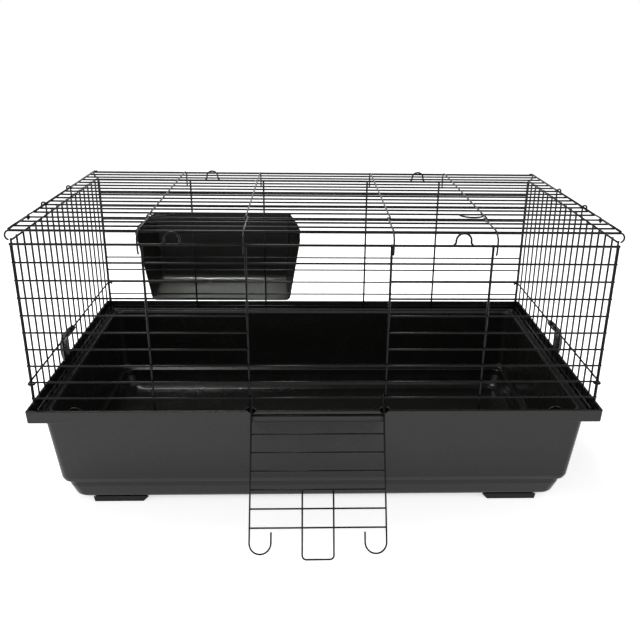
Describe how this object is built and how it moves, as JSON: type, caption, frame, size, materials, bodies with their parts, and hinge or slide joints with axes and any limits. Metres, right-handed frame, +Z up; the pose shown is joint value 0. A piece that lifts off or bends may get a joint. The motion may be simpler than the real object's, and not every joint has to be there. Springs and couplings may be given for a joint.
{
  "type": "wire rabbit cage",
  "caption": "Indoor rabbit cage: a deep plastic tray under a lift-off wire top, with a fold-down ramp door, a hinged roof strip, side latches and a hay rack behind.",
  "frame": {"origin": "middle of the whole object's footprint with the ramp down, on the floor under the feet", "axes": "+Z up; +X to the right along the cage's length, seen from the front; +Y to the back, so the ramp door faces -Y"},
  "size_m": [1.0194, 0.7954, 0.5372],
  "materials": {
    "tray_plastic": "satin black moulded plastic",
    "foot_plastic": "matt black moulded plastic",
    "rack_plastic": "satin black moulded plastic",
    "latch_plastic": "black moulded plastic",
    "coated_wire": "gloss black coating on steel wire"
  },
  "bodies": {
    "tray": {"tray": "tray_plastic", "foot_front_left": "foot_plastic", "foot_front_right": "foot_plastic", "foot_rear_left": "foot_plastic", "foot_rear_right": "foot_plastic"},
    "wire_top": {"corner_loop_front_left": "coated_wire", "corner_loop_front_right": "coated_wire", "corner_loop_rear_left": "coated_wire", "corner_loop_rear_right": "coated_wire", "front_grille_left": "coated_wire", "front_grille_right": "coated_wire", "lintel_wire_lower": "coated_wire", "lintel_wire_upper": "coated_wire", "ramp_hinge_wire": "coated_wire", "rear_grille": "coated_wire", "roof_rear_grille": "coated_wire", "side_grille_left": "coated_wire", "side_grille_right": "coated_wire", "side_rod_left": "coated_wire", "side_rod_right": "coated_wire", "sill_wire_1": "coated_wire", "sill_wire_2": "coated_wire", "sill_wire_bottom": "coated_wire"},
    "ramp_door": {"ramp_grille": "coated_wire", "ramp_handle": "coated_wire", "ramp_hinge_eye_left": "coated_wire", "ramp_hinge_eye_right": "coated_wire", "ramp_hook_left": "coated_wire", "ramp_hook_right": "coated_wire"},
    "roof_lid": {"roof_lid_grille": "coated_wire"},
    "latch_left": {"latch_left": "latch_plastic"},
    "latch_right": {"latch_right": "latch_plastic"},
    "hay_rack": {"hay_rack": "rack_plastic"}
  },
  "joints": [
    {"name": "wire_top_lift", "type": "slide", "parent": "tray", "child": "wire_top", "axis": [0, 0, 1], "range_m": [0, 0.12]},
    {"name": "ramp_hinge", "type": "hinge", "parent": "wire_top", "child": "ramp_door", "pos_m": [0, -0.2553, 0.2373], "axis": [-1, 0, 0], "range_deg": [0, 146.5]},
    {"name": "roof_lid_hinge", "type": "hinge", "parent": "wire_top", "child": "roof_lid", "pos_m": [0, -0.1523, 0.528], "axis": [-1, 0, 0], "range_deg": [0, 110]},
    {"name": "latch_left_pivot", "type": "hinge", "parent": "wire_top", "child": "latch_left", "pos_m": [-0.4906, -0.0141, 0.264], "axis": [0, 1, 0], "range_deg": [0, 85]},
    {"name": "latch_right_pivot", "type": "hinge", "parent": "wire_top", "child": "latch_right", "pos_m": [0.4906, 0.0157, 0.264], "axis": [0, -1, 0], "range_deg": [0, 85]},
    {"name": "hay_rack_unhook", "type": "slide", "parent": "wire_top", "child": "hay_rack", "axis": [0, 0, 1], "range_m": [0, 0.012]}
  ]
}
